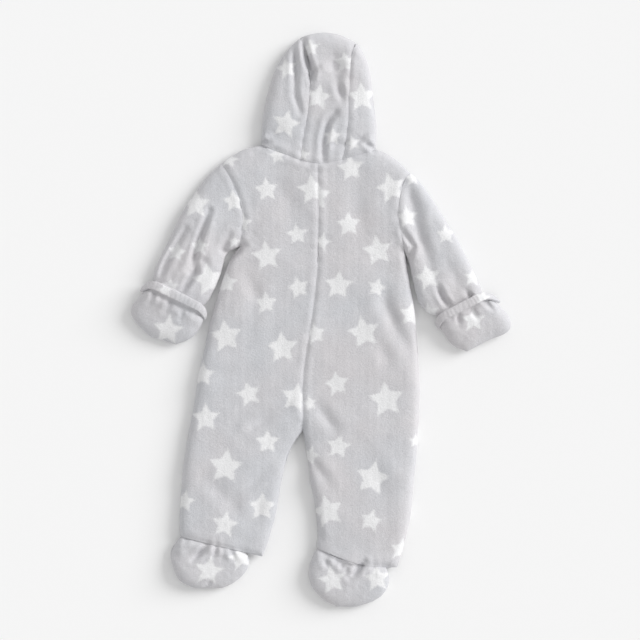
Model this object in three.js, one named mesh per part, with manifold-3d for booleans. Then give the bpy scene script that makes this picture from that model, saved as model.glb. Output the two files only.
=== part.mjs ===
// A baby's hooded pramsuit in padded fleece, zipped up and laid face down on a flat surface, its back uppermost.
// Millimetres, +Z up. +Y runs from the feet to the hood, and the wearer's left side is on -X.
// The origin is the middle of the bottom of the whole garment. Every cloth piece is a wall of one thickness, lying on the
// wall below it, and the edge of the laid-out garment is where the walls roll round to meet each other.
import * as THREE from "three";
import { mergeVertices } from "three/addons/utils/BufferGeometryUtils.js";
import Module from "manifold-3d";

// Driving dimensions.
const WALL = 7; // fleece, wadding and lining together
const MITT_WALL = 5; // the mitts have no wadding
const GAP = 3.5; // air between the upper and the under wall
const TOP = 2 * WALL + GAP; // height of the laid-out body
const EQUATOR = 8; // height at which the walls meet round the edge
const ROLL = 15; // how far in from the edge a wall is still curving
const SEAM = 0.5; // between pieces sewn together
const SLOT_HALF = 4.2; // half the opening between the two fronts
const CUFF_OVERLAP = 18; // how far a mitt reaches up over the end of its sleeve
const MITT_TOP = 24.5; // height of a mitt over the end of its sleeve
const MITT_TIP_TOP = 15; // and at its tip
const CUFF_TOP = 15.5; // height of a sleeve's end, squeezed inside its mitt
const CUFF_INSET = 9.5; // how much narrower it is there, on each side
const MOUTH_ROLL = 7; // how far in from its edge a mitt's mouth steps from its upper flap down to its under wall
const CUFF_GAP = 2.4; // between the ends of a sleeve and its mitt on the under side
const BAND_WIDTH = 11.5;
const BAND_THICK = 3;

// Rolled edges get columns of points at these distances, so that the curve is followed.
const EDGE_STEPS = [3, 8, 15];
const EDGE_SHARES = [0.08, 0.16, 0.24]; // and no further in than these shares of a narrow section

const rows = (columns, ...values) =>
  values.map((row) => Object.fromEntries(columns.map((name, i) => [name, row[i]])));

// Sections of the back, and of the front under it, from the shoulder (first) to the ankle (last). The side edge is the
// armhole down to UNDERARM and then the silhouette; the inner edge is the centre seam down to CROTCH and then the inseam.
const PANEL = ["sideX", "sideY", "innerX", "innerY"];
const UNDERARM = 5;
const CROTCH = 13;
const ANKLE = 18;
const LEFT_PANEL = rows(
  PANEL,
  [-127, 203, -3, 202],
  [-114, 181, -2, 180],
  [-104, 157, -1, 157],
  [-99, 135, -1, 134],
  [-101, 114, -2, 112],
  [-104, 95, -2, 92],
  [-118, 75, -3, 68],
  [-131, 39, -6, 36],
  [-140, 8, -10, 6],
  [-147, -24, -15, -26],
  [-154, -58, -20, -58],
  [-160, -92, -23, -91],
  [-165, -120, -22, -120],
  [-169, -143, -22, -143],
  [-174, -170, -38, -165],
  [-178, -200, -49, -200],
  [-181, -235, -55, -235],
  [-182, -260, -61, -268],
  [-181, -281, -75, -307],
);
const RIGHT_PANEL = rows(
  PANEL,
  [116, 191, -3, 202],
  [108, 177, -2, 180],
  [103, 160, -1, 157],
  [101, 138, -1, 134],
  [105, 114, -2, 112],
  [110, 88, -2, 92],
  [114, 60, -3, 68],
  [119, 32, -6, 36],
  [123, 6, -10, 6],
  [126, -25, -15, -26],
  [128, -58, -20, -58],
  [128.5, -92, -23, -91],
  [128, -120, -22, -120],
  [127, -143, -22, -143],
  [125, -172, -18, -170],
  [122, -205, -12, -203],
  [119, -240, -7, -238],
  [113, -278, -3, -270],
  [100, -321, -4, -296],
);
// The top edge rises from the shoulder tip to the neck point, then falls along the neckline to the nape. neckAt is the
// share of the way across at which the neck point lies, and rise its height over the straight line.
const LEFT_TOP = { neckAt: 0.41, rise: 24 };
const RIGHT_TOP = { neckAt: 0.374, rise: 26 };

// Sections of a sleeve after its armhole: its outer edge, and its inner edge beside the body.
const SLEEVE = ["outerX", "outerY", "innerX", "innerY"];
const LEFT_SLEEVE = rows(
  SLEEVE,
  [-147, 185, -118, 89],
  [-164, 161, -124, 82],
  [-181, 135, -127, 68],
  [-197, 101, -134, 48],
  [-210, 75, -142, 31],
  [-216, 57, -147, 23],
);
const RIGHT_SLEEVE = rows(
  SLEEVE,
  [131, 178, 116, 75],
  [151, 148, 119, 60],
  [171, 115, 123, 40],
  [188, 85, 129, 23],
  [199, 61, 139, 11],
  [208, 41, 149, 6],
);

// Sections of a mitt, from its elasticated mouth to its tip.
const LEFT_MITT = rows(
  SLEEVE,
  [-219, 53, -147, 18],
  [-228, 40, -151, 4],
  [-239, 26, -153, -4],
  [-247, 10, -159, -14],
  [-237, -6, -169, -25],
  [-219, -21, -187, -31],
);
const RIGHT_MITT = rows(
  SLEEVE,
  [211, 38, 150, 5],
  [224, 29, 153, -5],
  [238, 15, 159, -14],
  [248, -2, 165, -23],
  [243, -15, 175, -34],
  [225, -22, 191, -40],
);

// Sections of a foot below its ankle seam, to the toe. The edges are named for the side they lie on as seen from above.
const FOOT = ["leftX", "leftY", "rightX", "rightY"];
const LEFT_FOOT = rows(
  FOOT,
  [-194, -300, -92, -315],
  [-191, -320, -99, -330],
  [-181, -337, -112, -341],
  [-162, -347, -127, -348],
);
const RIGHT_FOOT = rows(
  FOOT,
  [-15, -321, 90, -338],
  [-11, -343, 83, -354],
  [4, -362, 68, -365],
  [22, -372, 47, -372],
);
// The stretch of each leg's ankle edge that its foot is sewn to, as shares of the way from the side to the inseam.
const LEFT_ANKLE = { from: 0.0, to: 0.8, sag: 0 };
const RIGHT_ANKLE = { from: 0.14, to: 1, sag: 8 };

// Sections of a side of the hood, from the neck to the crown: its silhouette, its seam with the centre strip on the upper
// side, and the edge of the face opening on the under side.
const HOOD = ["rimX", "rimY", "seamX", "seamY", "faceX", "faceY"];
const HOOD_LEFT = rows(
  HOOD,
  [-76, 227, -25, 207, -12, 203],
  [-74, 257, -22, 234, -33, 238],
  [-69, 290, -16, 266, -39, 270],
  [-61, 317, -13, 298, -39, 298],
  [-48, 340, -12, 318, -36, 316],
  [-36, 356, -17, 342, -30, 333],
  [-27, 363.5, -21.5, 356, -25, 342],
);
const HOOD_RIGHT = rows(
  HOOD,
  [71.5, 221, 30, 207, 6, 203],
  [73, 251, 34, 234, 30, 238],
  [70, 281, 37, 260, 40, 268],
  [65, 311, 37, 287, 42, 296],
  [60, 336, 38.5, 314, 43, 314],
  [53, 352, 40.5, 338, 44, 328],
  [47.5, 358.5, 43, 351, 45.5, 337],
);
const CROWN = { leftX: -25.6, leftY: 364.6, rightX: 46.2, rightY: 359.8, rise: 10.5 }; // the silhouette between them

// The largest folds of the upper walls, each a soft trough (depth below 0) or ridge (above 0) along a curve.
const FOLD = ["fromX", "fromY", "viaX", "viaY", "toX", "toY", "depth", "width"];
const FOLDS = rows(
  FOLD,
  // Left sleeve: three long creases from the elbow to the cuff, with the cloth standing up between them.
  [-141, 141, -158, 102, -168, 64, -2.6, 7],
  [-176, 118, -196, 84, -208, 52, -2.2, 7],
  [-160, 76, -164, 58, -180, 36, -2.2, 6],
  [-160, 128, -176, 92, -186, 58, 2.4, 12],
  [-128, 120, -142, 86, -158, 46, 2.2, 14],
  // Right sleeve: one long trough beside a round roll next to the body.
  [111, 170, 126, 128, 146, 66, -2.6, 9],
  [104, 150, 120, 100, 134, 52, 2.6, 10],
  [150, 41, 160, 28, 168, 15, -2.6, 5],
  // Body and legs: shallow drags towards the right side and away from the crotch.
  [83, 36, 92, 0, 118, -43, -1.6, 12],
  [-34, -112, -62, -130, -88, -150, -1.8, 12],
  [-40, -168, -62, -186, -84, -206, -1.6, 10],
  [-14, -176, 2, -196, 16, -214, -1.4, 10],
  // Hood: the pinch in the centre strip, the crease beside it and the collapsed fold over the neck.
  [-32, 356, -32, 300, -26, 268, -2.4, 5],
  [-24, 358, -18, 320, -12, 298, -2.6, 6],
  [20, 338, 22, 304, 29, 286, -2.4, 9],
  [21, 270, 8, 252, 4, 208, -2.6, 6],
  [12, 226, 34, 230, 58, 237, -2.2, 7],
  [-60, 240, -48, 300, -40, 332, 2, 16],
);

// ---- curves on the surface ----

const point = (x, y) => new THREE.Vector2(x, y);
const mix = (a, b, share) => a.clone().lerp(b, share);
const clamp = (value, low, high) => Math.min(Math.max(value, low), high);
const mixNumber = (a, b, share) => a + (b - a) * share;

// A smooth rail through a list of points, as a function of the index along it. It has a corner at each break.
function rail(points, breaks = []) {
  const stops = [0, ...breaks, points.length - 1];
  const runs = stops.slice(1).map((stop, i) => ({
    from: stops[i],
    to: stop,
    curve: new THREE.SplineCurve(points.slice(stops[i], stop + 1)),
  }));
  return (index) => {
    const run = runs.find(({ to }) => index <= to) ?? runs.at(-1);
    return run.curve.getPoint(clamp((index - run.from) / (run.to - run.from), 0, 1));
  };
}

const railOf = (table, x, y, breaks) => rail(table.map((row) => point(row[x], row[y])), breaks);

// Points along a rail from one index to another.
function along(curve, from, to, count) {
  return Array.from({ length: count + 1 }, (_, i) => curve(mixNumber(from, to, i / count)));
}

// Shares of the way across a section: close together at the ends that roll, and the given stops between.
function columnShares(width, middle) {
  const near = EDGE_STEPS.map((step, i) => Math.min(step / width, EDGE_SHARES[i]));
  return [0, ...near, ...middle, ...near.map((share) => 1 - share).reverse(), 1];
}

// ---- the garment's edge ----

// An outline is a set of polylines where the cloth rolls round, each with a point on the cloth's side of it.
class Outline {
  constructor() {
    this.segments = [];
  }

  add(points, towards) {
    for (let i = 1; i < points.length; i++) {
      const [a, b] = [points[i - 1], points[i]];
      const run = b.clone().sub(a);
      const inward = point(-run.y, run.x).normalize();
      const middle = mix(a, b, 0.5);
      if (inward.dot(towards.clone().sub(middle)) < 0) inward.negate();
      this.segments.push({ a, run, length2: run.lengthSq(), inward });
    }
    return this;
  }

  // How far a point is from the edge, and which way is inward from it.
  nearest(p) {
    let best = { distance: Infinity };
    for (const { a, run, length2, inward } of this.segments) {
      const share = clamp(p.clone().sub(a).dot(run) / length2, 0, 1);
      const away = p.clone().sub(a.clone().addScaledVector(run, share));
      const distance = away.length();
      if (distance < best.distance) {
        best = { distance, inward: distance > 0.5 ? away.divideScalar(distance) : inward };
      }
    }
    return best;
  }
}

// ---- walls of cloth ----

const UPPER = 1;
const UNDER = -1;

// The height of a quarter circle, as a share, at a share of the way in from the edge.
const rollHeight = (share) => Math.sqrt(1 - (1 - share) ** 2);

const foldLines = FOLDS.map((fold) => ({
  ...fold,
  line: along(
    rail([point(fold.fromX, fold.fromY), point(fold.viaX, fold.viaY), point(fold.toX, fold.toY)]),
    0,
    2,
    12,
  ),
}));

// How far the folds lift or sink the upper wall at a point.
function foldHeight(p) {
  let height = 0;
  for (const { line, depth, width } of foldLines) {
    let [nearest, at] = [Infinity, 0];
    line.forEach((q, i) => {
      const distance = q.distanceTo(p);
      if (distance < nearest) [nearest, at] = [distance, i / (line.length - 1)];
    });
    const fade = Math.sin(Math.PI * clamp(at, 0.08, 0.92));
    height += depth * fade * Math.exp(-((nearest / width) ** 2));
  }
  return clamp(height, -GAP + 0.7, 4);
}

// A flattened bag of cloth inside an outline. It gives the outer and inner face of its upper and its under wall.
class FlatBag {
  constructor(outline, { wall = WALL, top = () => TOP, folded = true, open = 0 } = {}) {
    Object.assign(this, { outline, wall, top, folded, open });
  }

  // p is the plan position; side is UPPER or UNDER. open is the half gap left at the edge between two separate walls.
  faces(p, side) {
    const { distance, inward } = this.outline.nearest(p);
    const share = Math.min(distance / ROLL, 1);
    const round = rollHeight(share);
    const outerRise = side === UPPER ? this.top(p) - EQUATOR - this.open : EQUATOR - this.open;
    const lift = side === UPPER && this.folded ? foldHeight(p) * share : 0;
    const edge = EQUATOR + side * this.open;
    const inner = p.clone().addScaledVector(inward, this.wall * (1 - share));
    return {
      outer: new THREE.Vector3(p.x, p.y, edge + side * outerRise * round + lift),
      inner: new THREE.Vector3(inner.x, inner.y, edge + side * (outerRise - this.wall) * round + lift),
      normal: new THREE.Vector3(
        -inward.x * (1 - share),
        -inward.y * (1 - share),
        side * round,
      ).normalize(),
    };
  }
}

// Triangles of a grid of points: rows of equal length, optionally joined round from the last column to the first.
function gridTriangles(grid, loop, flip) {
  const triangles = [];
  const columns = grid[0].length;
  for (let i = 0; i + 1 < grid.length; i++) {
    for (let j = 0; j + (loop ? 0 : 1) < columns; j++) {
      const k = (j + 1) % columns;
      const [a, b, c, d] = [grid[i][j], grid[i][k], grid[i + 1][k], grid[i + 1][j]];
      triangles.push(...(flip ? [a, c, b, a, d, c] : [a, b, c, a, c, d]));
    }
  }
  return triangles;
}

// A closed wall between an outer and an inner grid of points, with rims along its free edges.
function wallGeometry(outer, inner, { loop = false, tip = false } = {}) {
  const last = outer.length - 1;
  const columns = outer[0].length - 1;
  const column = (grid, j) => grid.map((row) => row[j]);
  const triangles = [
    ...gridTriangles(outer, loop, false),
    ...gridTriangles(inner, loop, true),
    ...gridTriangles([inner[0], outer[0]], loop, false),
  ];
  if (!tip) triangles.push(...gridTriangles([outer[last], inner[last]], loop, false));
  if (!loop) {
    triangles.push(...gridTriangles([column(outer, 0), column(inner, 0)], false, false));
    triangles.push(...gridTriangles([column(inner, columns), column(outer, columns)], false, false));
  }
  const raw = new THREE.BufferGeometry().setFromPoints(triangles);
  const geometry = mergeVertices(raw, 1e-3);
  if (signedVolume(geometry) < 0) geometry.index.array.reverse();
  return geometry;
}

function signedVolume(geometry) {
  const [position, index] = [geometry.attributes.position, geometry.index];
  const corner = (i) => new THREE.Vector3().fromBufferAttribute(position, index.getX(i));
  let volume = 0;
  for (let i = 0; i < index.count; i += 3) {
    volume += corner(i).dot(corner(i + 1).cross(corner(i + 2))) / 6;
  }
  return volume;
}

// ---- materials ----

const fleece = new THREE.MeshStandardMaterial({ color: 0xc4c4c8, roughness: 0.95, metalness: 0 });
const binding = new THREE.MeshStandardMaterial({ color: 0xc9c8cb, roughness: 0.9, metalness: 0 });
const zipTape = new THREE.MeshStandardMaterial({ color: 0xbcbcc0, roughness: 0.8, metalness: 0 });
const zipMetal = new THREE.MeshStandardMaterial({ color: 0xb8bac0, roughness: 0.35, metalness: 0.9 });

const suit = new THREE.Group();

function addMesh(name, geometry, material = fleece) {
  const mesh = new THREE.Mesh(geometry, material);
  mesh.name = name;
  suit.add(mesh);
  return mesh;
}

// Adds a piece of cloth from a grid of plan positions, each { p, side }.
function addCloth(name, bag, plan, options) {
  const faces = plan.map((row) => row.map(({ p, side }) => bag.faces(p, side)));
  const outer = faces.map((row) => row.map((face) => face.outer));
  const inner = faces.map((row) => row.map((face) => face.inner));
  addMesh(name, wallGeometry(outer, inner, options));
}

// ---- back and front panels ----

function topRise(share, { neckAt, rise }) {
  if (share <= neckAt) return rise * Math.sin((Math.PI / 2) * (share / neckAt));
  return rise * (1 - (share - neckAt) / (1 - neckAt)) ** 1.3;
}

// One half of the body and its leg: its rails, and the plan position at an index down it and a share of the way across.
function makePanel(table, top, ankle) {
  const side = railOf(table, "sideX", "sideY", [UNDERARM]);
  const inner = railOf(table, "innerX", "innerY", [CROTCH]);
  const across = Math.sign(table[0].sideX); // which way the side lies
  const at = (index, share) => {
    const p = mix(side(index), inner(index), share);
    p.y += topRise(share, top) * Math.max(0, 1 - index / UNDERARM) ** 2;
    p.y -= ankle.sag * Math.sin(Math.PI * share) * clamp(index - ANKLE + 2, 0, 2) / 2;
    return p;
  };
  return { side, inner, across, at, top };
}

const left = makePanel(LEFT_PANEL, LEFT_TOP, LEFT_ANKLE);
const right = makePanel(RIGHT_PANEL, RIGHT_TOP, RIGHT_ANKLE);

// The sleeve's columns fall on the same points of the armhole as the panel's rows do.
const ARMHOLE_LENGTH = 110;
const armholeShares = columnShares(ARMHOLE_LENGTH, [0.33, 0.5, 0.67]);
const BACK_ROWS = [
  ...armholeShares.map((share) => share * UNDERARM),
  5.5, 6, 7, 8, 9, 10, 11, 12, 12.6, 13, 13.4, 14, 15, 16, 17, 17.5, 17.8, ANKLE,
];
const FRONT_ROWS = [
  ...armholeShares.map((share) => share * UNDERARM),
  6, 7.5, 9, 10.5, 12, 12.6, 13, 13.5, 14, 15, 16, 17, 17.6, ANKLE,
];

function panelPlan(panel, rowIndexes, middle, facing, innerShift) {
  return rowIndexes.map((index) => {
    const width = panel.at(index, 0).distanceTo(panel.at(index, 1));
    const kept = panel.top.neckAt + 0.06; // the columns up to here stay where they are, and the rest close up
    const squeeze = (1 - innerShift(index) / width - kept) / (1 - kept);
    const seamInset = (share) => {
      const p = panel.at(index, share <= kept ? share : kept + (share - kept) * squeeze);
      // the armhole edge, the neck edge and the ankle edge stand half a seam back from the next piece
      if (index <= UNDERARM && share === 0) p.x -= (panel.across * SEAM) / 2;
      if (index === 0 && share > panel.top.neckAt) p.y -= SEAM / 2;
      if (index === ANKLE) p.y += SEAM / 2;
      return p;
    };
    return columnShares(width, middle(panel)).map((share) => ({ p: seamInset(share), side: facing }));
  });
}

const backShift = () => SEAM / 2;
const slotShift = (index) =>
  mixNumber(SLOT_HALF, SEAM / 2, clamp((index - (CROTCH - 1)) / 0.8, 0, 1));

// ---- the outline of everything but the mitts ----

const bodyOutline = new Outline();
const legInside = (panel) => mix(panel.side(15), panel.inner(15), 0.5);
for (const panel of [left, right]) {
  const shoulder = Array.from({ length: 9 }, (_, i) => panel.at(0, (panel.top.neckAt * i) / 8));
  bodyOutline.add(shoulder, point(panel.across * 60, 140));
  bodyOutline.add(along(panel.side, UNDERARM, ANKLE, 52), point(panel.across * 50, -110));
  bodyOutline.add(along(panel.inner, CROTCH, ANKLE, 30), legInside(panel));
}

// ---- sleeves ----

// A sleeve is one tube from its armhole to its cuff, which ends inside the mitt.
function makeSleeve(panel, table, mittTable) {
  const mitt = {
    outer: railOf(mittTable, "outerX", "outerY"),
    inner: railOf(mittTable, "innerX", "innerY"),
  };
  const mouth = mix(mitt.outer(0), mitt.inner(0), 0.5);
  const cuffIndex = CUFF_OVERLAP / mouth.distanceTo(mix(mitt.outer(1), mitt.inner(1), 0.5));
  const axis = mouth.clone().sub(mix(mitt.outer(1), mitt.inner(1), 0.5)).setLength(CUFF_GAP);
  const cuffPoint = (here, other, index, inset) => {
    const [from, to] = [here(index), other(index)];
    return mix(from, to, inset / from.distanceTo(to)).add(axis);
  };
  const edge = (start, name, here, other) =>
    rail([
      start,
      ...table.map((row) => point(row[`${name}X`], row[`${name}Y`])),
      cuffPoint(here, other, 0.45 * cuffIndex, 0.7 * CUFF_INSET),
      cuffPoint(here, other, cuffIndex, CUFF_INSET),
    ]);
  const outer = edge(panel.side(0), "outer", mitt.outer, mitt.inner);
  const inner = edge(panel.side(UNDERARM), "inner", mitt.inner, mitt.outer);
  const end = table.length + 2;
  const at = (index, share) => {
    const bow = panel.side(share * UNDERARM).sub(mix(outer(0), inner(0), share));
    const p = mix(outer(index), inner(index), share).addScaledVector(bow, Math.max(0, 1 - index / 3) ** 2);
    if (index === 0) p.x += (panel.across * SEAM) / 2;
    return p;
  };
  return { outer, inner, at, end, mitt, cuffIndex };
}

const leftSleeve = makeSleeve(left, LEFT_SLEEVE, LEFT_MITT);
const rightSleeve = makeSleeve(right, RIGHT_SLEEVE, RIGHT_MITT);
for (const sleeve of [leftSleeve, rightSleeve]) {
  const middle = sleeve.at(3, 0.5);
  bodyOutline.add(along(sleeve.outer, 0, sleeve.end, 36), middle);
  bodyOutline.add(along(sleeve.inner, 0, sleeve.end, 36), middle);
}

const SLEEVE_ROWS = [0, 0.5, 1, 1.7, 2.4, 3.1, 3.8, 4.5, 5.2, 5.8, 6.2, 6.6, 7, 7.5, 8];

// Positions once round a tube: across the upper wall from the outer edge, and back across the under wall.
function roundPlan(shares, at) {
  const upper = shares.map((share) => ({ p: at(share, UPPER), side: UPPER }));
  const under = shares.slice(1, -1).reverse().map((share) => ({ p: at(share, UNDER), side: UNDER }));
  return [...upper, ...under];
}

// A sleeve sinks towards its end, where the mitt holds it down.
function sleeveTop(sleeve) {
  const [near, far] = [sleeve.at(5.4, 0.5), sleeve.at(sleeve.end, 0.5)];
  const run = far.clone().sub(near);
  return (p) => mixNumber(TOP, CUFF_TOP, clamp(p.clone().sub(near).dot(run) / run.lengthSq(), 0, 1));
}

// ---- feet ----

function makeFoot(panel, table, ankle) {
  const seam = (share) => panel.at(ANKLE, mixNumber(ankle.from, ankle.to, share));
  const sideIsLeft = panel.across < 0;
  const start = sideIsLeft ? [seam(0), seam(1)] : [seam(1), seam(0)];
  const leftEdge = rail([start[0], ...table.map((row) => point(row.leftX, row.leftY))]);
  const rightEdge = rail([start[1], ...table.map((row) => point(row.rightX, row.rightY))]);
  const at = (index, share) => {
    const straight = mix(leftEdge(0), rightEdge(0), share);
    const bend = seam(sideIsLeft ? share : 1 - share).sub(straight);
    const p = mix(leftEdge(index), rightEdge(index), share).addScaledVector(bend, Math.max(0, 1 - index) ** 2);
    if (index === 0) p.y -= SEAM;
    return p;
  };
  return { leftEdge, rightEdge, at, end: table.length };
}

const feet = {
  left: makeFoot(left, LEFT_FOOT, LEFT_ANKLE),
  right: makeFoot(right, RIGHT_FOOT, RIGHT_ANKLE),
};
for (const foot of Object.values(feet)) {
  const middle = foot.at(1.5, 0.5);
  const toe = Array.from({ length: 7 }, (_, i) => foot.at(foot.end, i / 6));
  bodyOutline.add(along(foot.leftEdge, 0, foot.end, 16), middle);
  bodyOutline.add(along(foot.rightEdge, 0, foot.end, 16), middle);
  bodyOutline.add(toe, middle);
}
// The bit of each ankle edge with no foot on it is a free hem.
bodyOutline.add([left.at(ANKLE, LEFT_ANKLE.to), left.at(ANKLE, 1)], legInside(left));
bodyOutline.add([right.at(ANKLE, 0), right.at(ANKLE, RIGHT_ANKLE.from)], legInside(right));

// ---- hood ----

// How far the neckline stands off the straight line between two points on it, at a share of the way between them.
function neckBow(from, to, share) {
  const p = mix(from, to, share);
  const panel = p.x < left.inner(0).x ? left : right;
  const [shoulder, nape] = [panel.side(0), panel.inner(0)];
  return panel.at(0, (p.x - shoulder.x) / (nape.x - shoulder.x)).y + SEAM / 2 - p.y;
}

// A point between two rails of the hood. Sections near the neck bend to follow the neckline.
function hoodPoint(from, to, index, share) {
  const p = mix(from(index), to(index), share);
  p.y += neckBow(from(0), to(0), share) * Math.max(0, 1 - index / 2) ** 2;
  return p;
}

function makeHoodSide(table) {
  const across = Math.sign(table[0].rimX);
  const shifted = (curve) => (index) => curve(index).add(point((across * SEAM) / 2, 0));
  const rim = railOf(table, "rimX", "rimY");
  const seam = railOf(table, "seamX", "seamY");
  const face = railOf(table, "faceX", "faceY");
  const [toSeam, toFace] = [shifted(seam), shifted(face)];
  const at = (index, share, side) => hoodPoint(rim, side === UPPER ? toSeam : toFace, index, share);
  return { rim, seam, face, at, end: table.length - 1 };
}

const hoodLeft = makeHoodSide(HOOD_LEFT);
const hoodRight = makeHoodSide(HOOD_RIGHT);
const crownStart = point(CROWN.leftX, CROWN.leftY);
const crownEnd = point(CROWN.rightX, CROWN.rightY);
const crownAt = (share) => {
  const p = mix(crownStart, crownEnd, share);
  p.y += CROWN.rise * 4 * share * (1 - share);
  return p;
};
const hoodInside = point(2, 285);
bodyOutline.add([...along(hoodLeft.rim, 0, hoodLeft.end, 30), crownStart], hoodInside);
bodyOutline.add(along(crownAt, 0, 1, 14), hoodInside);
bodyOutline.add([crownEnd, ...along(hoodRight.rim, hoodRight.end, 0, 30)], hoodInside);

const HOOD_ROWS = [0, 0.5, 1, 1.6, 2.3, 3, 3.6, 4.2, 4.8, 5.4, 5.8, 6];

function hoodSidePlan(hoodSide) {
  return HOOD_ROWS.map((index) => {
    const width = hoodSide.at(index, 0, UPPER).distanceTo(hoodSide.at(index, 1, UPPER));
    const near = EDGE_STEPS.map((step, i) => Math.min(step / width, [0.2, 0.42, 0.65][i]));
    const upper = [1, 0.83, ...near.slice().reverse(), 0];
    const under = [...near, 1];
    return [
      ...upper.map((share) => ({ p: hoodSide.at(index, share, UPPER), side: UPPER })),
      ...under.map((share) => ({ p: hoodSide.at(index, share, UNDER), side: UNDER })),
    ];
  });
}

// The centre strip runs from the nape over the crown, and turns under to the face opening.
const STRIP_SHARES = [0, 0.18, 0.34, 0.5, 0.66, 0.82, 1];
const STRIP_ROWS = [0, 0.5, 1, 1.7, 2.4, 3.1, 3.8, 4.5, 5.2, 5.7, 6, 6.35, 6.7];
const BRIM_ROWS = [0, 0.15, 0.4, 0.7, 1];

function hoodCentrePlan() {
  const inset = point(SEAM / 2, 0);
  const half = hoodLeft.end;
  const strip = (hoodSide, crown, sign) => {
    const curve = rail([...along(hoodSide.seam, 0, half, half), crown]);
    return (index) => curve(index).addScaledVector(inset, sign);
  };
  const [from, to] = [strip(hoodLeft, crownStart, 1), strip(hoodRight, crownEnd, -1)];
  const upper = STRIP_ROWS.map((index) =>
    STRIP_SHARES.map((share) => {
      const p = hoodPoint(from, to, index, share);
      p.y += CROWN.rise * 4 * share * (1 - share) * (index / (half + 1)) ** 4;
      return { p, side: UPPER };
    }),
  );
  const brim = [hoodLeft.face(half).add(inset), hoodRight.face(half).sub(inset)];
  const under = BRIM_ROWS.map((turn) =>
    STRIP_SHARES.map((share) => {
      const p = mix(crownAt(share), mix(...brim, share), turn);
      p.y += CROWN.rise * 4 * share * (1 - share) * turn;
      p.x += inset.x * (1 - 2 * share) * (1 - turn);
      return { p, side: UNDER };
    }),
  );
  return [...upper, ...under];
}

// ---- mitts ----

// A mitt is a pouch folded back over its sleeve's end. Its upper flap reaches further up the arm than its under wall,
// which meets the sleeve at the cuff.
function makeMitt({ mitt, cuffIndex }) {
  const last = LEFT_MITT.length - 1;
  const at = (index, share) => mix(mitt.outer(index), mitt.inner(index), share);
  const width = at(0, 0).distanceTo(at(0, 1));
  const start = (share, side) => {
    const fromEdge = Math.min(share, 1 - share) * width;
    return (cuffIndex / 2) * (1 - side * Math.sin((Math.PI / 2) * Math.min(fromEdge / MOUTH_ROLL, 1)));
  };
  const outline = new Outline();
  const middle = at(2.5, 0.5);
  outline.add(along(mitt.outer, 0, last, 24), middle);
  outline.add(along(mitt.inner, 0, last, 24), middle);
  outline.add([at(last, 0), at(last, 1)], middle);
  const [mouth, tip] = [at(0.8, 0.5), at(last, 0.5)];
  const run = tip.clone().sub(mouth);
  const top = (p) =>
    mixNumber(MITT_TOP, MITT_TIP_TOP, clamp(p.clone().sub(mouth).dot(run) / run.lengthSq(), 0, 1));
  const bag = new FlatBag(outline, { wall: MITT_WALL, top, folded: false });
  return { at, start, last, bag, width };
}

const MITT_ROWS = [0, 0.14, 0.3, 0.46, 0.62, 0.76, 0.88, 0.96, 1];

function mittPlan({ at, start, last, width }) {
  const shares = columnShares(width, [0.33, 0.5, 0.67]);
  return MITT_ROWS.map((row) =>
    roundPlan(shares, (share, side) => at(mixNumber(start(share, side), last, row), share)),
  );
}

// The elastic binding lies on the flap along its mouth: the flap's own points, moved out.
function addBand(name, { at, start, bag, width }, sleeve) {
  const perRow = sleeve.cuffIndex / CUFF_OVERLAP;
  const shares = columnShares(width, [0.33, 0.5, 0.67]);
  const section = [0.1, 0.5, 0.9];
  const swell = [0.75, 1, 0.75];
  const moved = (amount) =>
    section.map((step, i) =>
      shares.map((share) => {
        const { outer, normal } = bag.faces(at(start(share, UPPER) + step * BAND_WIDTH * perRow, share), UPPER);
        return outer.addScaledVector(normal, amount(swell[i]));
      }),
    );
  const outer = moved((swelling) => SEAM + BAND_THICK * swelling);
  const inner = moved(() => SEAM);
  addMesh(name, wallGeometry(outer, inner), binding);
}

// ---- the front zip ----

const ZIP_TOP = 0.35; // panel indexes between which the zip runs
const ZIP_END = 12;
const TAPE_HALF = 12;
const TAPE_LOW = WALL + 0.4;
const TAPE_THICK = 0.9;
const CHAIN_HALF = 2.6;
const CHAIN_LOW = 5;

// A T section: the tape lies inside the fronts, and the chain stands down between them.
function zipGeometry() {
  const high = TAPE_LOW + TAPE_THICK;
  const section = [
    [-TAPE_HALF, high],
    [-TAPE_HALF, TAPE_LOW],
    [-CHAIN_HALF, TAPE_LOW],
    [-CHAIN_HALF, CHAIN_LOW],
    [CHAIN_HALF, CHAIN_LOW],
    [CHAIN_HALF, TAPE_LOW],
    [TAPE_HALF, TAPE_LOW],
    [TAPE_HALF, high],
  ];
  const centres = along(left.inner, ZIP_TOP, ZIP_END, 24);
  const rings = centres.map((c) => section.map(([x, z]) => new THREE.Vector3(c.x + x, c.y, z)));
  const triangles = gridTriangles(rings, true, false);
  for (const [ring, flip] of [[rings[0], true], [rings.at(-1), false]]) {
    const flat = ring.map(({ x, z }) => point(x, z));
    for (const [a, b, c] of THREE.ShapeUtils.triangulateShape(flat, [])) {
      triangles.push(...(flip ? [ring[a], ring[c], ring[b]] : [ring[a], ring[b], ring[c]]));
    }
  }
  const geometry = mergeVertices(new THREE.BufferGeometry().setFromPoints(triangles), 1e-3);
  if (signedVolume(geometry) < 0) geometry.index.array.reverse();
  return geometry;
}

// The slider is a plate under the chain, with a lug on each side holding the pin that the pull tab hangs from.
const SLIDER = { at: 188, length: 11, half: 3.8, low: 3.9, high: 4.7, lugLow: 1, lugLength: 3.4, lugThick: 0.9 };
const PULL = { pinZ: 2, pinRadius: 0.6, eyeInner: 0.95, eyeOuter: 1.55, half: 2.5, length: 20, thick: 1.4 };

const library = await Module();
library.setup();
const { Manifold, Mesh } = library;

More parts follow.
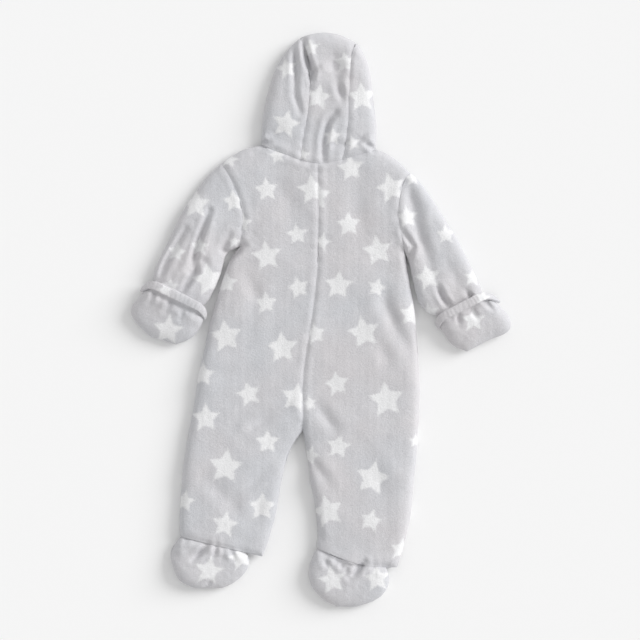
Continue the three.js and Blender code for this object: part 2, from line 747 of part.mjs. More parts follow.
// A solid that can be joined and cut, from a closed geometry.
function solidOf(source) {
  const bare = source.clone().deleteAttribute("normal").deleteAttribute("uv");
  const geometry = mergeVertices(bare, 1e-4);
  return new Manifold(
    new Mesh({
      numProp: 3,
      vertProperties: new Float32Array(geometry.attributes.position.array),
      triVerts: new Uint32Array(geometry.index.array),
    }),
  );
}

function geometryOf(solid) {
  const { vertProperties, triVerts } = solid.getMesh();
  const geometry = new THREE.BufferGeometry();
  geometry.setAttribute("position", new THREE.BufferAttribute(new Float32Array(vertProperties), 3));
  geometry.setIndex(new THREE.BufferAttribute(new Uint32Array(triVerts), 1));
  return geometry;
}

function zipCentreX(y) {
  const line = along(left.inner, 0, CROTCH, 60);
  return line.reduce((best, p) => (Math.abs(p.y - y) < Math.abs(best.y - y) ? p : best)).x;
}

// A box from its low corner and its size, with x measured from the middle of the slot.
function block(x, y, z, width, length, height) {
  const box = new THREE.BoxGeometry(width, length, height);
  return solidOf(box.translate(x + width / 2, y + length / 2, z + height / 2));
}

// A rod along X, or standing up.
const rod = (radius, half, segments) =>
  solidOf(new THREE.CylinderGeometry(radius, radius, 2 * half, segments).rotateZ(Math.PI / 2));
const post = (radius, half, y) =>
  solidOf(new THREE.CylinderGeometry(radius, radius, 2 * half, 24).rotateX(Math.PI / 2).translate(0, y, 0));

function sliderSolid() {
  const { length, half, low, high, lugLow, lugLength, lugThick } = SLIDER;
  const lug = (x) => block(x, -lugLength / 2, lugLow, lugThick, lugLength, high - lugLow);
  return block(-half, -length / 2, low, 2 * half, length, high - low)
    .add(lug(-half))
    .add(lug(half - lugThick))
    .add(rod(PULL.pinRadius, half - 0.1, 24).translate([0, 0, PULL.pinZ]));
}

function pullSolid() {
  const { eyeInner, eyeOuter, half, length, thick, pinZ } = PULL;
  const fingerHole = post(1.3, thick, 3.6 - length);
  return block(-half, -length, -thick / 2, 2 * half, length, thick)
    .add(rod(eyeOuter, half, 32))
    .subtract(rod(eyeInner, half + 1, 32))
    .subtract(fingerHole)
    .translate([0, 0, pinZ]);
}

// ---- the garment ----

const body = new FlatBag(bodyOutline);
const panels = new FlatBag(bodyOutline, { open: SEAM / 2 });
const backMiddle = ({ top }) => [0.25, top.neckAt, top.neckAt + 0.06, 0.67];
const frontMiddle = ({ top }) => [0.25, top.neckAt, top.neckAt + 0.06, 0.67];

for (const [name, panel] of [["left", left], ["right", right]]) {
  addCloth(`back_${name}`, panels, panelPlan(panel, BACK_ROWS, backMiddle, UPPER, backShift));
  addCloth(`front_${name}`, panels, panelPlan(panel, FRONT_ROWS, frontMiddle, UNDER, slotShift));
}

for (const [name, sleeve] of [["left", leftSleeve], ["right", rightSleeve]]) {
  const bag = new FlatBag(bodyOutline, { top: sleeveTop(sleeve) });
  const plan = SLEEVE_ROWS.map((index) => roundPlan(armholeShares, (share) => sleeve.at(index, share)));
  addCloth(`sleeve_${name}`, bag, plan, { loop: true });
  const mitt = makeMitt(sleeve);
  addCloth(`mitt_${name}`, mitt.bag, mittPlan(mitt), { loop: true, tip: true });
  addBand(`mitt_band_${name}`, mitt, sleeve);
}

const FOOT_ROWS = [0, 0.4, 0.8, 1.25, 1.7, 2.2, 2.7, 3.15, 3.5, 3.8, 4];
for (const [name, foot] of Object.entries(feet)) {
  const plan = (facing) =>
    FOOT_ROWS.map((index) => {
      const width = foot.at(index, 0).distanceTo(foot.at(index, 1));
      return columnShares(width, [0.27, 0.38, 0.5, 0.62, 0.73]).map((share) => ({ p: foot.at(index, share), side: facing }));
    });
  addCloth(`foot_sole_${name}`, panels, plan(UPPER));
  addCloth(`foot_top_${name}`, panels, plan(UNDER));
}

addCloth("hood_side_left", body, hoodSidePlan(hoodLeft));
addCloth("hood_side_right", body, hoodSidePlan(hoodRight));
addCloth("hood_centre", body, hoodCentrePlan());

addMesh("front_zip", zipGeometry(), zipTape);
const pinAt = new THREE.Vector3(zipCentreX(SLIDER.at), SLIDER.at, 0);
for (const [name, solid] of [["zip_slider", sliderSolid()], ["zip_pull", pullSolid()]]) {
  addMesh(name, geometryOf(solid).translate(pinAt.x, pinAt.y, pinAt.z), zipMetal);
}

export default suit;
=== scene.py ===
"""A baby's star-printed fleece pramsuit, laid face down: cloth, print, folds, floor and light.

Every cloth piece starts from its CAD wall, which is smoothed, subdivided, then creased,
gathered and puckered here. Lengths in the tables are millimetres in the frame's own axes:
+X to the wearer's right, +Y to the hood, +Z up. The zip's metal parts stay as the CAD has them.
"""

import math
import random

import bmesh
import bpy
import numpy as np
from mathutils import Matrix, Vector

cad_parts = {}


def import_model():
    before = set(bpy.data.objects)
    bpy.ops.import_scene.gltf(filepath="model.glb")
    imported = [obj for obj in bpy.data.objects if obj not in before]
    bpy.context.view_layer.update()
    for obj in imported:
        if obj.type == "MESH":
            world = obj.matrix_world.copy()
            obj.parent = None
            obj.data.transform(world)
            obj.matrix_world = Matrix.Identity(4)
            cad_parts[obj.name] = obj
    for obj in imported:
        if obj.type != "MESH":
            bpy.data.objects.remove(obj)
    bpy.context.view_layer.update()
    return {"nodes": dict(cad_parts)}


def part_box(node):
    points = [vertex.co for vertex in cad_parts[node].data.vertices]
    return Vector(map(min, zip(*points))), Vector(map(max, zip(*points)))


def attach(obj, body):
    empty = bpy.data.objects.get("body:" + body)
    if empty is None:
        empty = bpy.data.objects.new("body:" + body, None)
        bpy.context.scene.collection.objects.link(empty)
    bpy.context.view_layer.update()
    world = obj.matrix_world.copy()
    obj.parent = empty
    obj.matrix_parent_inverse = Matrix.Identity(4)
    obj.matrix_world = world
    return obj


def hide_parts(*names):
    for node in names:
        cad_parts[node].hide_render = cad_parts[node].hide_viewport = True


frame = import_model()
MM = 0.001
GARMENT = "garment"

# ---- driving values ------------------------------------------------------------------------

# Smoothing the CAD walls. Lengths in m, angles in degrees.
MERGE_DISTANCE = 2e-6
FLAT_PAIR_ANGLE = 50  # triangles that meet flatter than this may become one quad
SHAPE_ANGLE = 60
CUT_EDGE_ANGLE = 48  # edges sharper than this are the cloth's cut edges
CUT_EDGE_CREASE = 0.95

# Shaping the cloth, in mm.
SWELL = 0.7  # every outer face stands out by this, so that neighbours meet at their seams
CREASE_GAIN = 1.9  # the creases' depths are multiplied by this
RIB_HEIGHT = 0.12  # ribs of the mitts' elastic bands
UPPER_SIDE = 8.0  # cloth above this height belongs to the upper side
LOWEST, HIGHEST = -5.2, 3.0  # the most that folds may lower or raise the cloth
BACK_GATHER = 0.45  # share of the gathers that reaches the leg above an ankle seam
BAND_LINES = {"left": ((-222, 48), (-151, 14)), "right": ((217, 36), (152, 3))}

# The zip's coil, in mm.
COIL_TOP = 7.2
COIL_PITCH = 2.4
COIL_RIB = 0.25

# The printed stars.
STAR_RADIUS = 0.56  # of a star's width
STAR_NOTCH = 0.5  # radius of its inner corners, of its own radius
STAR_TURN = 16  # degrees that it may be turned either way
FAR_FROM_STARS = -30.0  # mm
SCATTER_SIZES = [20, 24, 29, 33, 38]  # widths on the hidden side, in mm
SCATTER_TRIES = 400

# Colours (linear) of the print, the zip and the floor.
COOL_GREYS = (0.60, 0.608, 0.638), (0.70, 0.706, 0.732)
WARM_GREYS = (0.632, 0.615, 0.635), (0.735, 0.718, 0.733)
STAR_WHITE = (0.893, 0.893, 0.902)
TAPE_GREYS = (0.44, 0.44, 0.46), (0.52, 0.52, 0.54)
METAL_GREYS = (0.47, 0.48, 0.51), (0.56, 0.57, 0.60)
FLOOR_COLOUR = 0.95

# Floor, light and camera. Lengths in m.
FLOOR_HALF = 9.0
FLOOR_HEIGHT = -0.0003
BACKGROUND = 0.93  # as seen by the camera and in reflections
SKY_LIGHT = 0.64
KEY_TOWARDS = (1.9, 0.9, 1.05)
KEY_SOFTNESS = 34  # degrees
KEY_STRENGTH = 2.29
CAMERA_HEIGHT = 6.0
SEEN_WIDTH = 0.832
SENSOR_WIDTH = 36  # mm

# ---- tables --------------------------------------------------------------------------------

# Each cloth piece: the rectangle its cut comes from (m), the cut's own area (m2), and how many
# times its mesh is subdivided.
PIECES = {
    "back_left": dict(flat=(0.20, 0.55), area=0.063, levels=3),
    "back_right": dict(flat=(0.18, 0.56), area=0.066, levels=3),
    "front_left": dict(flat=(0.20, 0.55), area=0.061, levels=3),
    "front_right": dict(flat=(0.18, 0.56), area=0.064, levels=3),
    "sleeve_left": dict(flat=(0.22, 0.19), area=0.0255, levels=3),
    "sleeve_right": dict(flat=(0.21, 0.185), area=0.0232, levels=3),
    "mitt_left": dict(flat=(0.165, 0.085), area=0.0096, levels=3),
    "mitt_right": dict(flat=(0.16, 0.08), area=0.0084, levels=3),
    "mitt_band_left": dict(flat=(0.098, 0.0125), area=0.00118, levels=4),
    "mitt_band_right": dict(flat=(0.096, 0.0125), area=0.00112, levels=4),
    "foot_sole_left": dict(flat=(0.108, 0.072), area=0.0052, levels=3),
    "foot_sole_right": dict(flat=(0.112, 0.080), area=0.0057, levels=3),
    "foot_top_left": dict(flat=(0.108, 0.072), area=0.0051, levels=2),
    "foot_top_right": dict(flat=(0.112, 0.080), area=0.0055, levels=2),
    "hood_side_left": dict(flat=(0.105, 0.165), area=0.0115, levels=3),
    "hood_side_right": dict(flat=(0.085, 0.160), area=0.0088, levels=3),
    "hood_centre": dict(flat=(0.075, 0.195), area=0.0112, levels=3),
}

# The printed stars that show, per piece: the middle's x and y, and the width from tip to tip.
STARS = {
    "back_left": [
        (-69, 169, 29), (-10, 169, 36), (-30, 111, 25), (-69, 83, 36), (-101, 126, 23),
        (-121, 48, 26), (-28, 42, 27), (-70, 22, 27), (-122, -21, 39), (-49, -36, 38),
        (-152, -71, 29), (-92, -96, 30), (-32, -101, 35), (-148, -127, 34), (-68, -158, 29),
        (-122, -190, 42), (-176, -235, 26), (-75, -242, 34), (-123, -265, 31), (-117, 208, 20),
        (-55, 213, 20),
    ],
    "back_right": [
        (-5, 161, 36), (40, 197, 32), (92, 171, 36), (37, 124, 30), (2, 101, 22), (75, 90, 36),
        (24, 45, 35), (74, 42, 23), (118, 7, 30), (-6, -18, 26), (57, -16, 39), (22, -83, 31),
        (86, -103, 43), (-13, -108, 18), (24, -164, 30), (68, -205, 42), (-13, -176, 23),
        (10, -248, 39), (66, -260, 27), (105, -298, 26), (124, -157, 16),
    ],
    "foot_sole_left": [
        (-144, -325, 34), (-103, -308, 29),
    ],
    "foot_sole_right": [
        (16, -337, 33), (74, -335, 31),
    ],
    "mitt_left": [
        (-197, -13, 36),
    ],
    "mitt_right": [
        (199, 0, 28),
    ],
    "mitt_band_left": [
        (-201, 38, 17),
    ],
    "mitt_band_right": [
        (211, 29, 18),
    ],
    "sleeve_left": [
        (-161, 150, 34), (-112, 154, 26), (-186, 88, 23), (-156, 95, 21), (-144, 52, 39),
        (-194, 43, 20), (-111, 101, 14),
    ],
    "sleeve_right": [
        (113, 133, 27), (163, 111, 23), (140, 55, 31), (198, 55, 21), (120, 184, 18),
        (142, 9, 23),
    ],
    "hood_side_left": [
        (-43, 326, 25), (-44, 254, 34),
    ],
    "hood_centre": [
        (-12, 352, 21), (32, 334, 25), (-2, 289, 31), (16, 238, 22), (-22, 214, 16),
    ],
    "hood_side_right": [
        (54, 289, 35), (43, 229, 18),
    ],
}

# Creases: a polyline of (x, y), then depth (down) and width in mm. A ridge has a depth below 0.
CREASES = [
    ([(-174, 118), (-194, 84), (-210, 51)], 2.8, 3.6),
    ([(-143, 142), (-155, 109), (-169, 63)], 3.4, 3.4),
    ([(-159, 81), (-161, 63), (-181, 34)], 3.4, 3.4),
    ([(-136, 132), (-147, 104), (-158, 74)], -1.3, 6.0),
    ([(-168, 92), (-178, 68), (-190, 48)], -1.3, 6.0),
    ([(-152, 84), (-151, 72)], 1.5, 5.0),
    ([(-129, 95), (-129, 76)], 1.6, 6.0),
    ([(-118, 109), (-125, 92), (-116, 84), (-99, 97)], 2.6, 4.0),
    ([(113, 176), (120, 150), (130, 104), (147, 59)], 2.6, 7.0),
    ([(153, 42), (160, 28), (168, 16)], 3.6, 3.4),
    ([(190, 38), (199, 22)], 1.8, 3.5),
    ([(109, 114), (121, 95), (113, 78)], 3.2, 3.6),
    ([(160, 80), (172, 60), (182, 42)], 0.9, 7.0),
    ([(-33, 358), (-32, 320), (-32, 291), (-25, 269)], 2.8, 3.4),
    ([(-22, 365), (-18, 340), (-11, 321), (-11, 312)], 3.4, 3.8),
    ([(-2, 327), (-13, 318)], 2.0, 3.0),
    ([(23, 309), (29, 286)], 2.6, 4.2),
    ([(20, 338), (21, 320)], 2.8, 8.0),
    ([(20, 268), (10, 256), (5, 233), (4, 208)], 3.2, 3.6),
    ([(46, 230), (59, 238)], 1.8, 3.0),
    ([(57, 230), (70, 222)], 2.0, 3.0),
    ([(-76, 229), (-66, 231)], 2.2, 3.0),
    ([(-70, 236), (-56, 246)], 1.6, 9.0),
    ([(11, 226), (34, 228)], 1.4, 4.0),
    ([(79, 39), (103, -19), (122, -45)], 1.4, 7.0),
    ([(77, -30), (91, -60)], 1.2, 8.0),
    ([(-87, -138), (-64, -124), (-42, -113)], 1.7, 6.0),
    ([(-3, -111), (10, -128), (20, -143)], 1.7, 6.0),
    ([(-36, -170), (-72, -196), (-107, -229)], 1.5, 7.0),
    ([(-12, -178), (0, -196), (12, -213)], 1.4, 6.0),
    ([(-4, -267), (4, -292)], 1.3, 5.0),
    ([(-60, 196), (-40, 150), (-36, 96)], 0.9, 12.0),
    ([(52, 190), (48, 140), (58, 96)], 0.9, 12.0),
    ([(-150, -205), (-120, -232), (-96, -262)], 1.0, 9.0),
    ([(-60, -206), (-78, -232), (-84, -262)], 1.2, 8.0),
    ([(-160, -62), (-120, -72), (-84, -66)], 0.8, 10.0),
    ([(60, -176), (80, -214), (86, -250)], 0.8, 10.0),
    ([(-96, 66), (-84, 30), (-90, -8)], 1.0, 9.0),
    ([(92, 60), (84, 20), (96, -20)], 1.0, 9.0),
    ([(-145, -291), (-156, -302), (-165, -311)], 2.2, 3.2),
    ([(-133, -293), (-137, -305)], 1.8, 3.0),
    ([(-116, -298), (-110, -311)], 1.8, 3.0),
    ([(-139, -337), (-148, -343)], 1.4, 3.0),
    ([(-191, -300), (-186, -310)], 1.6, 5.0),
    ([(5, -311), (12, -319)], 2.6, 3.6),
    ([(27, -315), (29, -323)], 1.7, 3.0),
    ([(35, -319), (34, -330)], 1.8, 3.0),
    ([(57, -313), (48, -325), (38, -334)], 2.6, 3.4),
    ([(-192, 26), (-200, 12)], 1.8, 3.4),
    ([(-176, 16), (-180, 3)], 1.4, 3.0),
    ([(-212, 36), (-222, 24)], 1.4, 3.2),
    ([(178, 6), (180, -8)], 1.6, 3.2),
    ([(196, 14), (204, 2)], 1.6, 3.2),
    ([(214, 24), (224, 14)], 1.3, 3.0),
]

# Seams: where two pieces are sewn the cloth dips, and puckers a little along the line.
SEAMS = [
    [
        (-3, 203), (-2, 125), (-3, 68), (-6, 36), (-10, 6), (-15, -26), (-20, -58), (-23, -91),
        (-22, -120), (-22, -143),
    ],
    [
        (-127, 203), (-114, 181), (-104, 157), (-99, 135), (-101, 114), (-104, 95), (-118, 75),
    ],
    [
        (116, 191), (108, 177), (103, 160), (101, 138), (105, 114), (110, 88), (114, 60),
    ],
    [
        (-77, 227), (-49, 217), (-29, 208), (-15, 204), (1, 203), (20, 206), (48, 214),
        (71, 221),
    ],
    [
        (-22, 365), (-16, 341), (-12, 318), (-13, 298), (-16, 266), (-22, 234), (-25, 207),
    ],
    [
        (44, 359), (40.5, 338), (38.5, 314), (37, 287), (37, 260), (34, 234), (30, 207),
    ],
]
# Gathered seams: the ankles, and the mouths of the mitts below their bands.
GATHERS = [
    [(-181, -281), (-152, -288), (-124, -294), (-96, -302)],
    [(-4, -296), (17, -310), (40, -319), (60, -318), (86, -319)],
    [(-226, 42), (-200, 28), (-176, 16), (-154, 6)],
    [(222, 28), (198, 16), (176, 4), (154, -6)],
]


# ---- helpers -------------------------------------------------------------------------------


def line_distance(xy, points):
    """Distance of each xy from a polyline, where along it is nearest, and its length (mm)."""
    best = np.full(len(xy), 1e9)
    where = np.zeros(len(xy))
    run = 0.0
    for a, b in zip(points, points[1:]):
        a, b = np.array(a, float), np.array(b, float)
        d = b - a
        length = math.hypot(*d)
        t = np.clip(((xy - a) @ d) / length**2, 0, 1)
        gap = np.hypot(*(xy - a - t[:, None] * d).T)
        nearer = gap < best
        best = np.where(nearer, gap, best)
        where = np.where(nearer, run + t * length, where)
        run += length
    return best, where, run


def hump(gap, centre, width):
    """A smooth hump of height 1, centred at a distance from a line."""
    return np.exp(-(((gap - centre) / width) ** 2))


def waves(points, wavelength, count, seed):
    """Smooth noise of about -1 to 1 at points (mm): plane waves in random directions."""
    draw = np.random.default_rng(seed)
    total = np.zeros(len(points))
    for _ in range(count):
        direction = draw.normal(size=points.shape[1])
        direction /= np.linalg.norm(direction)
        size = wavelength * draw.uniform(0.7, 1.5)
        phase = draw.uniform(0, 2 * math.pi)
        total += np.sin(points @ direction * (2 * math.pi / size) + phase)
    return total / math.sqrt(count)


def star_depth(xy, radius, turn):
    """How far each xy (mm, from the star's middle) is inside a five-pointed star."""
    fifth = 2 * math.pi / 5
    angle = np.mod(np.arctan2(xy[:, 0], xy[:, 1]) - turn + fifth / 2, fifth) - fifth / 2
    reach = np.hypot(xy[:, 0], xy[:, 1])
    x, y = np.abs(np.sin(angle)) * reach, np.cos(angle) * reach
    tip = np.array([0.0, radius])
    notch = STAR_NOTCH * radius * np.array([math.sin(fifth / 2), math.cos(fifth / 2)])
    edge = notch - tip
    outward = np.array([-edge[1], edge[0]]) / np.linalg.norm(edge)
    if outward @ tip < 0:
        outward = -outward
    return -((x - tip[0]) * outward[0] + (y - tip[1]) * outward[1])


def nearest_star(xy, stars, draw):
    """How far each xy (mm) is inside the nearest of the stars, each turned a little."""
    depth = np.full(len(xy), FAR_FROM_STARS)
    for x, y, size in stars:
        turn = math.radians(draw.uniform(-STAR_TURN, STAR_TURN))
        depth = np.maximum(depth, star_depth(xy - (x, y), STAR_RADIUS * size, turn))
    return depth


def scattered_stars(box, seed):
    """An even scatter of stars over a piece's hidden side, like the print that shows."""
    draw = random.Random(seed)
    low, high = box
    placed = []
    for _ in range(SCATTER_TRIES):
        x = draw.uniform(low[0], high[0]) / MM
        y = draw.uniform(low[1], high[1]) / MM
        size = draw.choice(SCATTER_SIZES)
        if all(math.hypot(x - a, y - b) > 0.55 * (size + s) + 16 for a, b, s in placed):
            placed.append((x, y, size))
    return placed


def read(mesh, name):
    """The vertices' "co" or "normal" as rows of x, y and z."""
    values = np.zeros(len(mesh.vertices) * 3)
    mesh.vertices.foreach_get(name, values)
    return values.reshape(-1, 3)


# ---- cloth ---------------------------------------------------------------------------------


def fine_copy(node, levels):
    """The CAD wall as a smooth, finely divided mesh whose cut edges stay sharp."""
    mesh = frame["nodes"][node].data.copy()
    mesh.materials.clear()
    work = bmesh.new()
    work.from_mesh(mesh)
    bmesh.ops.remove_doubles(work, verts=work.verts, dist=MERGE_DISTANCE)
    bmesh.ops.recalc_face_normals(work, faces=work.faces)
    bmesh.ops.join_triangles(
        work,
        faces=work.faces,
        angle_face_threshold=math.radians(FLAT_PAIR_ANGLE),
        angle_shape_threshold=math.radians(SHAPE_ANGLE),
    )
    crease = work.edges.layers.float.new("crease_edge")
    for edge in work.edges:
        if len(edge.link_faces) == 2 and edge.calc_face_angle(0) > math.radians(CUT_EDGE_ANGLE):
            edge[crease] = CUT_EDGE_CREASE
    work.to_mesh(mesh)
    work.free()
    piece = bpy.data.objects.new("cloth_" + node, mesh)
    bpy.context.scene.collection.objects.link(piece)
    smooth = piece.modifiers.new("smooth", "SUBSURF")
    smooth.levels = smooth.render_levels = levels
    depsgraph = bpy.context.evaluated_depsgraph_get()
    final = bpy.data.meshes.new_from_object(piece.evaluated_get(depsgraph))
    piece.modifiers.clear()
    piece.data = final
    final.shade_smooth()
    return piece


def band_ribs(xy, node):
    """Ribs along a mitt's gathered elastic band: fine ones over broad ones."""
    line = BAND_LINES["right" if "right" in node else "left"]
    _, where, _ = line_distance(xy, line)
    across = waves(xy, 30, 6, 6)
    fine = np.sin(where * 2 * math.pi / 5.6 + 1.3 * across)
    broad = np.sin(where * 2 * math.pi / 13 + across)
    return fine + 0.6 * broad


def crease_rise(xy):
    """Valleys that fade at both ends, each with a soft bank beside it."""
    rise = np.zeros(len(xy))
    for points, depth, width in CREASES:
        gap, where, run = line_distance(xy, points)
        fade = np.sin(math.pi * np.clip(where / run, 0.06, 0.94)) ** 0.6
        wander = 1 + 0.25 * np.sin(where / 9.0 + points[0][0])
        valley = CREASE_GAIN * depth * fade
        rise -= valley * wander * hump(gap, 0, width)
        rise += 0.32 * valley * hump(gap, 2.2 * width, 1.1 * width)
    return rise


def seam_rise(xy):
    """A narrow dip along each seam, a bank beside it, and small puckers."""
    rise = np.zeros(len(xy))
    for k, points in enumerate(SEAMS):
        gap, where, _ = line_distance(xy, points)
        beat = np.sin(where / 3.1 + 2.2 * np.sin(where / 17.0 + k))
        pucker = 0.45 * beat * hump(gap, 0, 7.0)
        rise += pucker - 1.1 * hump(gap, 0, 2.6) + 0.5 * hump(gap, 7.0, 4.0)
    return rise


def gather_rise(xy, share):
    """A deeper dip along each gathered seam, with ripples that run away from it."""
    rise = np.zeros(len(xy))
    for k, points in enumerate(GATHERS):
        gap, where, _ = line_distance(xy, points)
        beat = np.sin(where / 2.6 + 1.9 * np.sin(where / 8.0 + 2 * k))
        ripple = 0.65 * beat * hump(gap, 0, 12.0)
        dip = -2.4 * hump(gap, 0, 3.2) + 1.1 * hump(gap, 9.0, 5.0)
        rise += (ripple + dip) * share
    return rise


def loose_lie(xy):
    """Broad, middling and small undulations of cloth that lies unpressed."""
    return 0.9 * waves(xy, 70, 9, 3) + 0.26 * waves(xy, 26, 14, 4) + 0.08 * waves(xy, 10, 20, 5)


def shape_cloth(piece, node):
    """Moves the cloth along its normals for its lie, and up or down for folds and seams."""
    mesh = piece.data
    co = read(mesh, "co") / MM
    normal = read(mesh, "normal")
    facing = normal[:, 2]
    xy = co[:, :2].copy()
    upper = np.clip(facing * 1.5, 0, 1) * (co[:, 2] > UPPER_SIDE)
    rise = np.zeros(len(co))
    move = SWELL * np.clip(facing + 1.0, 0, 1)
    if "band" in node:
        move += RIB_HEIGHT * band_ribs(xy, node) * np.clip(facing + 0.6, 0, 1)
    else:
        share = BACK_GATHER if "back" in node else 1.0
        rise = crease_rise(xy) + seam_rise(xy) + gather_rise(xy, share)
        move += loose_lie(xy) * np.clip(facing + 0.5, 0, 1)
    co += normal * move[:, None]
    co[:, 2] += np.clip(rise, LOWEST, HIGHEST) * upper
    co[:, 2] = np.maximum(co[:, 2], 0.0)
    mesh.vertices.foreach_set("co", (co * MM).ravel())
    mesh.update()


def print_stars(piece, node):
    """Stores how far each vertex is inside the nearest printed star, in mm."""
    mesh = piece.data
    co = read(mesh, "co") / MM
    normal = read(mesh, "normal")
    draw = random.Random(node)
    shown = STARS.get(node) or scattered_stars(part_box(node), node)
    depth = nearest_star(co[:, :2], shown, draw)
    if node in STARS:
        under = (normal[:, 2] < -0.4) & (co[:, 2] < UPPER_SIDE)
        scattered = scattered_stars(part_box(node), node + "_under")
        depth = np.where(under, nearest_star(co[:, :2], scattered, draw), depth)
    layer = mesh.attributes.new("star_depth", "FLOAT", "POINT")
    layer.data.foreach_set("value", depth.astype(np.float32))


# ---- materials -----------------------------------------------------------------------------


def new_material(name):
    """A material with its nodes, its links and its shader."""
    material = bpy.data.materials.new(name)
    material.use_nodes = True
    nodes, links = material.node_tree.nodes, material.node_tree.links
    return material, nodes, links, nodes["Principled BSDF"]


def own_axes(nodes):
    """Places on the surface in the object's own axes, in metres."""
    return nodes.new("ShaderNodeTexCoord").outputs["Object"]


def noise(nodes, links, vector, scale, detail=3.0, roughness=0.6):
    node = nodes.new("ShaderNodeTexNoise")
    node.inputs["Scale"].default_value = scale
    node.inputs["Detail"].default_value = detail
    node.inputs["Roughness"].default_value = roughness
    links.new(vector, node.inputs["Vector"])
    return node.outputs["Fac"]


def maths(nodes, links, operation, a, b):
    node = nodes.new("ShaderNodeMath")
    node.operation = operation
    for socket, value in zip(node.inputs, (a, b)):
        if isinstance(value, (int, float)):
            socket.default_value = value
        else:
            links.new(value, socket)
    return node.outputs[0]


def map_range(nodes, links, value, source=(0.0, 1.0), result=(0.0, 1.0), kind="LINEAR"):
    node = nodes.new("ShaderNodeMapRange")
    node.interpolation_type = kind
    node.inputs["From Min"].default_value, node.inputs["From Max"].default_value = source
    node.inputs["To Min"].default_value, node.inputs["To Max"].default_value = result
    links.new(value, node.inputs["Value"])
    return node.outputs["Result"]


def blend_colour(nodes, links, factor, a, b):
    node = nodes.new("ShaderNodeMix")
    node.data_type = "RGBA"
    links.new(factor, node.inputs["Factor"])
    for socket, value in ((node.inputs[6], a), (node.inputs[7], b)):
        if isinstance(value, tuple):
            socket.default_value = (*value, 1)
        else:
            links.new(value, socket)
    return node.outputs[2]


def add_bump(nodes, links, shader, height, strength, distance):
    bump = nodes.new("ShaderNodeBump")
    bump.inputs["Strength"].default_value = strength
    bump.inputs["Distance"].default_value = distance
    links.new(height, bump.inputs["Height"])
    links.new(bump.outputs["Normal"], shader.inputs["Normal"])


def fleece_material():
    """Short-pile fleece: fine nap over faint knit lines, mottled, with soft-edged pale stars."""
    material, nodes, links, shader = new_material("star_fleece")
    place = own_axes(nodes)
    nap = noise(nodes, links, place, 700, 4, 0.75)
    tufts = noise(nodes, links, place, 330, 4, 0.7)
    mottle = noise(nodes, links, place, 9, 3, 0.5)
    tint = noise(nodes, links, place, 75, 5, 0.65)
    knit = nodes.new("ShaderNodeTexWave")
    knit.bands_direction = "X"
    knit.inputs["Scale"].default_value = 210
    knit.inputs["Distortion"].default_value = 1.6
    knit.inputs["Detail"].default_value = 2
    links.new(place, knit.inputs["Vector"])

    # The stars' edges are soft over 3.8 mm and ragged by the tufts.
    depth = nodes.new("ShaderNodeAttribute")
    depth.attribute_name = "star_depth"
    ragged = maths(nodes, links, "SUBTRACT", tufts, 0.5)
    ragged = maths(nodes, links, "MULTIPLY", ragged, 5.0)
    inside = maths(nodes, links, "ADD", depth.outputs["Fac"], ragged)
    inside = map_range(nodes, links, inside, source=(-1.9, 1.9), kind="SMOOTHSTEP")

    # Cool and warm greys in broad patches, with the stars over them and a fine speckle.
    patch = map_range(nodes, links, mottle, source=(0.36, 0.64))
    cool = blend_colour(nodes, links, tint, *COOL_GREYS)
    warm = blend_colour(nodes, links, tint, *WARM_GREYS)
    ground = blend_colour(nodes, links, patch, cool, warm)
    printed = blend_colour(nodes, links, inside, ground, STAR_WHITE)
    speck = map_range(nodes, links, nap, source=(0.3, 0.7), result=(0.87, 1.07))
    final = nodes.new("ShaderNodeVectorMath")
    final.operation = "SCALE"
    links.new(printed, final.inputs[0])
    links.new(speck, final.inputs["Scale"])
    links.new(final.outputs[0], shader.inputs["Base Color"])

    height = maths(nodes, links, "ADD", nap, maths(nodes, links, "MULTIPLY", tufts, 1.3))
    lines = maths(nodes, links, "MULTIPLY", knit.outputs["Fac"], 0.35)
    add_bump(nodes, links, shader, maths(nodes, links, "ADD", height, lines), 0.6, 0.0011)
    shader.inputs["Roughness"].default_value = 0.95
    shader.inputs["Specular IOR Level"].default_value = 0.15
    shader.inputs["Sheen Weight"].default_value = 0.25
    shader.inputs["Sheen Roughness"].default_value = 0.6
    return material


def tape_material():
    """Woven zip tape and its nylon coil, a darker grey than the fleece."""
    material, nodes, links, shader = new_material("zip_tape_weave")
    place = own_axes(nodes)
    weave = nodes.new("ShaderNodeTexWave")
    weave.bands_direction = "Y"
    weave.inputs["Scale"].default_value = 320
    links.new(place, weave.inputs["Vector"])
    grain = noise(nodes, links, place, 900)
    colour = blend_colour(nodes, links, grain, *TAPE_GREYS)
    links.new(colour, shader.inputs["Base Color"])
    add_bump(nodes, links, shader, weave.outputs["Fac"], 0.5, 0.0003)
    shader.inputs["Roughness"].default_value = 0.8
    return material


def metal_material():
    """Satin grey metal with fine handling marks."""
    material, nodes, links, shader = new_material("zip_satin_metal")
    place = own_axes(nodes)
    marks = noise(nodes, links, place, 600, 5, 0.7)
    links.new(blend_colour(nodes, links, marks, *METAL_GREYS), shader.inputs["Base Color"])
    rough = map_range(nodes, links, marks, result=(0.28, 0.5))
    links.new(rough, shader.inputs["Roughness"])
    shader.inputs["Metallic"].default_value = 0.9
    return material


# ---- the garment ---------------------------------------------------------------------------

fleece = fleece_material()
for node, facts in PIECES.items():
    piece = fine_copy(node, facts["levels"])
    shape_cloth(piece, node)
    print_stars(piece, node)
    piece.data.materials.append(fleece)
    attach(piece, GARMENT)
    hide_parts(node)

# The zip: its coil stands in ribs along the middle of the tape.
zip_piece = fine_copy("front_zip", 3)
zip_co = read(zip_piece.data, "co")
is_coil = zip_co[:, 2] < COIL_TOP * MM
zip_co[:, 2] -= is_coil * COIL_RIB * MM * np.sin(zip_co[:, 1] * 2 * math.pi / (COIL_PITCH * MM))
zip_piece.data.vertices.foreach_set("co", zip_co.ravel())
zip_piece.data.materials.append(tape_material())
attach(zip_piece, GARMENT)
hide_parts("front_zip")

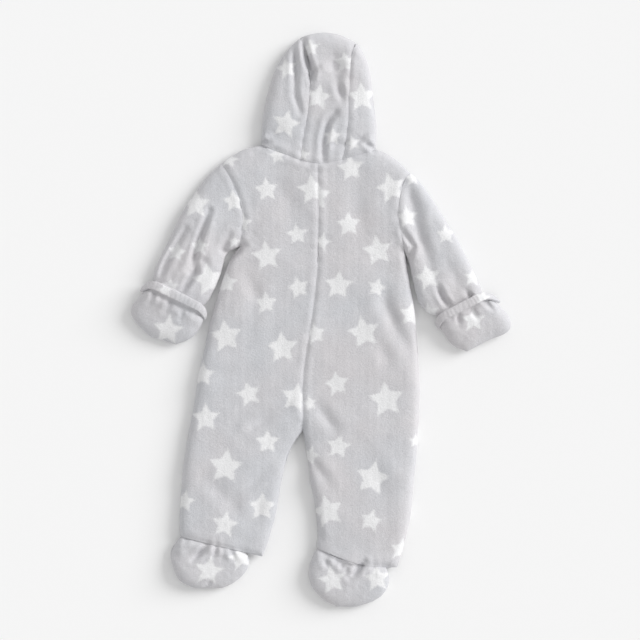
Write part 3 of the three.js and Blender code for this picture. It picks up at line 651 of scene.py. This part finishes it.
metal = metal_material()
for node in ("zip_slider", "zip_pull"):
    frame["nodes"][node].data.materials.clear()
    frame["nodes"][node].data.materials.append(metal)

# ---- floor, light and camera ---------------------------------------------------------------


def floor():
    mesh = bpy.data.meshes.new("floor")
    signs = ((-1, -1), (1, -1), (1, 1), (-1, 1))
    corners = [(x * FLOOR_HALF, y * FLOOR_HALF, FLOOR_HEIGHT) for x, y in signs]
    mesh.from_pydata(corners, [], [(0, 1, 2, 3)])
    plane = bpy.data.objects.new("floor", mesh)
    bpy.context.scene.collection.objects.link(plane)
    material, _, _, shader = new_material("pale_floor")
    shader.inputs["Base Color"].default_value = (FLOOR_COLOUR, FLOOR_COLOUR, FLOOR_COLOUR, 1)
    shader.inputs["Roughness"].default_value = 0.9
    shader.inputs["Specular IOR Level"].default_value = 0.1
    mesh.materials.append(material)


def world():
    """An even sky that lights the suit at one level and is seen at another."""
    sky = bpy.data.worlds.new("studio")
    sky.use_nodes = True
    nodes, links = sky.node_tree.nodes, sky.node_tree.links
    rays = nodes.new("ShaderNodeLightPath").outputs
    seen = maths(nodes, links, "MAXIMUM", rays["Is Camera Ray"], rays["Is Glossy Ray"])
    seen = maths(nodes, links, "MAXIMUM", seen, rays["Is Transmission Ray"])
    strength = map_range(nodes, links, seen, result=(SKY_LIGHT, BACKGROUND))
    background = nodes["Background"]
    background.inputs["Color"].default_value = (1, 1, 1, 1)
    links.new(strength, background.inputs["Strength"])
    bpy.context.scene.world = sky


def sun(name, towards, softness, strength):
    """A broad even light from the direction of a point; softness is its width in degrees."""
    lamp = bpy.data.lights.new(name, "SUN")
    lamp.angle = math.radians(softness)
    lamp.energy = strength
    light = bpy.data.objects.new(name, lamp)
    light.location = towards
    light.rotation_euler = light.location.to_track_quat("Z", "Y").to_euler()
    bpy.context.scene.collection.objects.link(light)


def camera():
    """Straight down from above the middle of the suit."""
    lens = bpy.data.cameras.new("camera")
    lens.sensor_width = SENSOR_WIDTH
    lens.lens = SENSOR_WIDTH * CAMERA_HEIGHT / SEEN_WIDTH
    lens.clip_end = 60
    eye = bpy.data.objects.new("camera", lens)
    eye.location = (0, 0, CAMERA_HEIGHT)
    bpy.context.scene.collection.objects.link(eye)
    bpy.context.scene.camera = eye


floor()
world()
sun("key", KEY_TOWARDS, KEY_SOFTNESS, KEY_STRENGTH)
camera()
bpy.context.scene.view_settings.view_transform = "Standard"
